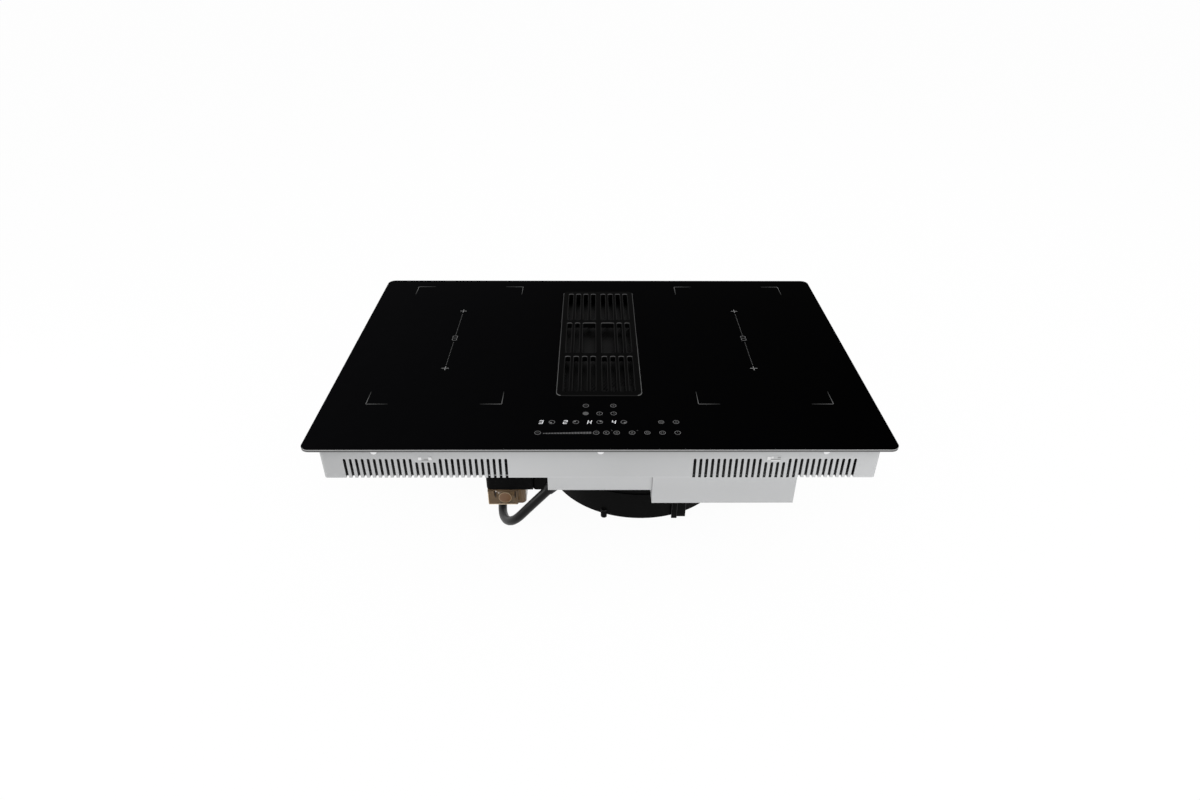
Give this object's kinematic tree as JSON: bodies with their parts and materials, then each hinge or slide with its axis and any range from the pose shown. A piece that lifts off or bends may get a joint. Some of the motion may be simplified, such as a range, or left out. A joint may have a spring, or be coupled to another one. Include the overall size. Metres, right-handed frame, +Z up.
{
  "type": "downdraft induction cooktop",
  "caption": "Built-in black glass induction hob with a centre extraction grille, a steel tray with vent slots, a fan housing and condensate cup below, and a mains cord.",
  "frame": {"origin": "on the surface the fan housing's feet stand on, under the middle of the glass", "axes": "+X to the user's right, +Y away from the user, +Z up"},
  "size_m": [0.77, 0.52, 0.212],
  "materials": {
    "black_glass": "glossy, opaque black",
    "foam": "matt closed-cell foam",
    "silicone": "satin silicone",
    "tray_steel": "matt coated sheet",
    "screw_steel": "zinc plated",
    "black_plastic": "matt, fine grain",
    "grille_black": "matt black coating",
    "filter_aluminium": "satin",
    "amber_plastic": "clear amber",
    "copper_litz": "enamelled litz, copper coloured",
    "former_plastic": "matt heat-proof plastic",
    "ferrite": "matt sintered",
    "mica": "matt mica sheet",
    "sheet_aluminium": "mill finish",
    "circuit_board": "solder mask",
    "component_black": "moulded sleeves",
    "spring_steel": "bright wire",
    "motor_steel": "satin",
    "rubber_black": "satin rubber",
    "terminal_grey": "matt",
    "core_copper": "insulated cores with ferrules",
    "tie_white": "nylon tie"
  },
  "bodies": {
    "hob": {"air_chamber": "black_plastic", "blower_housing_left": "black_plastic", "blower_housing_right": "black_plastic", "board_components": "component_black", "board_holder": "former_plastic", "carrier_plate_left": "sheet_aluminium", "carrier_plate_right": "sheet_aluminium", "coil_ferrites": "ferrite", "coil_former_back_left": "former_plastic", "coil_former_back_right": "former_plastic", "coil_former_front_left": "former_plastic", "coil_former_front_right": "former_plastic", "coil_mica_sheets": "mica", "coil_sensors": "component_black", "coil_springs": "spring_steel", "coil_winding_back_left": "copper_litz", "coil_winding_back_right": "copper_litz", "coil_winding_front_left": "copper_litz", "coil_winding_front_right": "copper_litz", "cord_boot": "rubber_black", "cord_cores": "core_copper", "cord_tie": "tie_white", "cup_seal": "silicone", "display_modules": "component_black", "drain_collector": "black_plastic", "driver_board": "circuit_board", "driver_box": "tray_steel", "edge_seal": "foam", "fan_housing_lower": "black_plastic", "fan_housing_upper": "black_plastic", "glass_bond": "silicone", "glass_top": "black_glass", "heat_sink_left": "sheet_aluminium", "heat_sink_right": "sheet_aluminium", "housing_feet": "black_plastic", "inlet_duct": "black_plastic", "motor_bearings": "spring_steel", "motor_dampers": "rubber_black", "motor_plate": "tray_steel", "motor_stator": "motor_steel", "outlet_spigot": "black_plastic", "power_board_left": "circuit_board", "power_board_right": "circuit_board", "power_cord": "rubber_black", "power_cord_coil": "rubber_black", "terminal_block": "terminal_grey", "terminal_box": "tray_steel", "touch_board": "circuit_board", "touch_springs": "spring_steel", "tray": "tray_steel", "tray_screws": "screw_steel"},
    "grille": {"grille": "grille_black"},
    "grease_filter": {"filter_frame": "filter_aluminium", "filter_mesh": "filter_aluminium"},
    "fan_rotor": {"fan_wheel": "black_plastic", "motor_rotor": "motor_steel", "fan_shaft": "spring_steel"},
    "condensate_cup": {"condensate_cup": "amber_plastic"},
    "left_blower": {"blower_wheel_left": "black_plastic"},
    "right_blower": {"blower_wheel_right": "black_plastic"}
  },
  "joints": [
    {"name": "grille_lift", "type": "slide", "parent": "hob", "child": "grille", "axis": [0, 0, 1], "range_m": [0, 0.06]},
    {"name": "filter_lift", "type": "slide", "parent": "hob", "child": "grease_filter", "axis": [0, 0, 1], "range_m": [0, 0.03]},
    {"name": "cup_release", "type": "slide", "parent": "hob", "child": "condensate_cup", "axis": [0, 0, -1], "range_m": [0, 0.01]},
    {"name": "fan_spin", "type": "hinge", "parent": "hob", "child": "fan_rotor", "pos_m": [0.05, -0.005, 0.05], "axis": [0, 0, 1], "continuous": true},
    {"name": "left_blower_spin", "type": "hinge", "parent": "hob", "child": "left_blower", "pos_m": [-0.145, 0.12, 0.16], "axis": [0, 0, 1], "continuous": true},
    {"name": "right_blower_spin", "type": "hinge", "parent": "hob", "child": "right_blower", "pos_m": [0.145, 0.12, 0.16], "axis": [0, 0, 1], "continuous": true}
  ],
  "couplings": [
    {"joint": "filter_lift", "follows": "grille_lift", "ratio": 0.5}
  ]
}
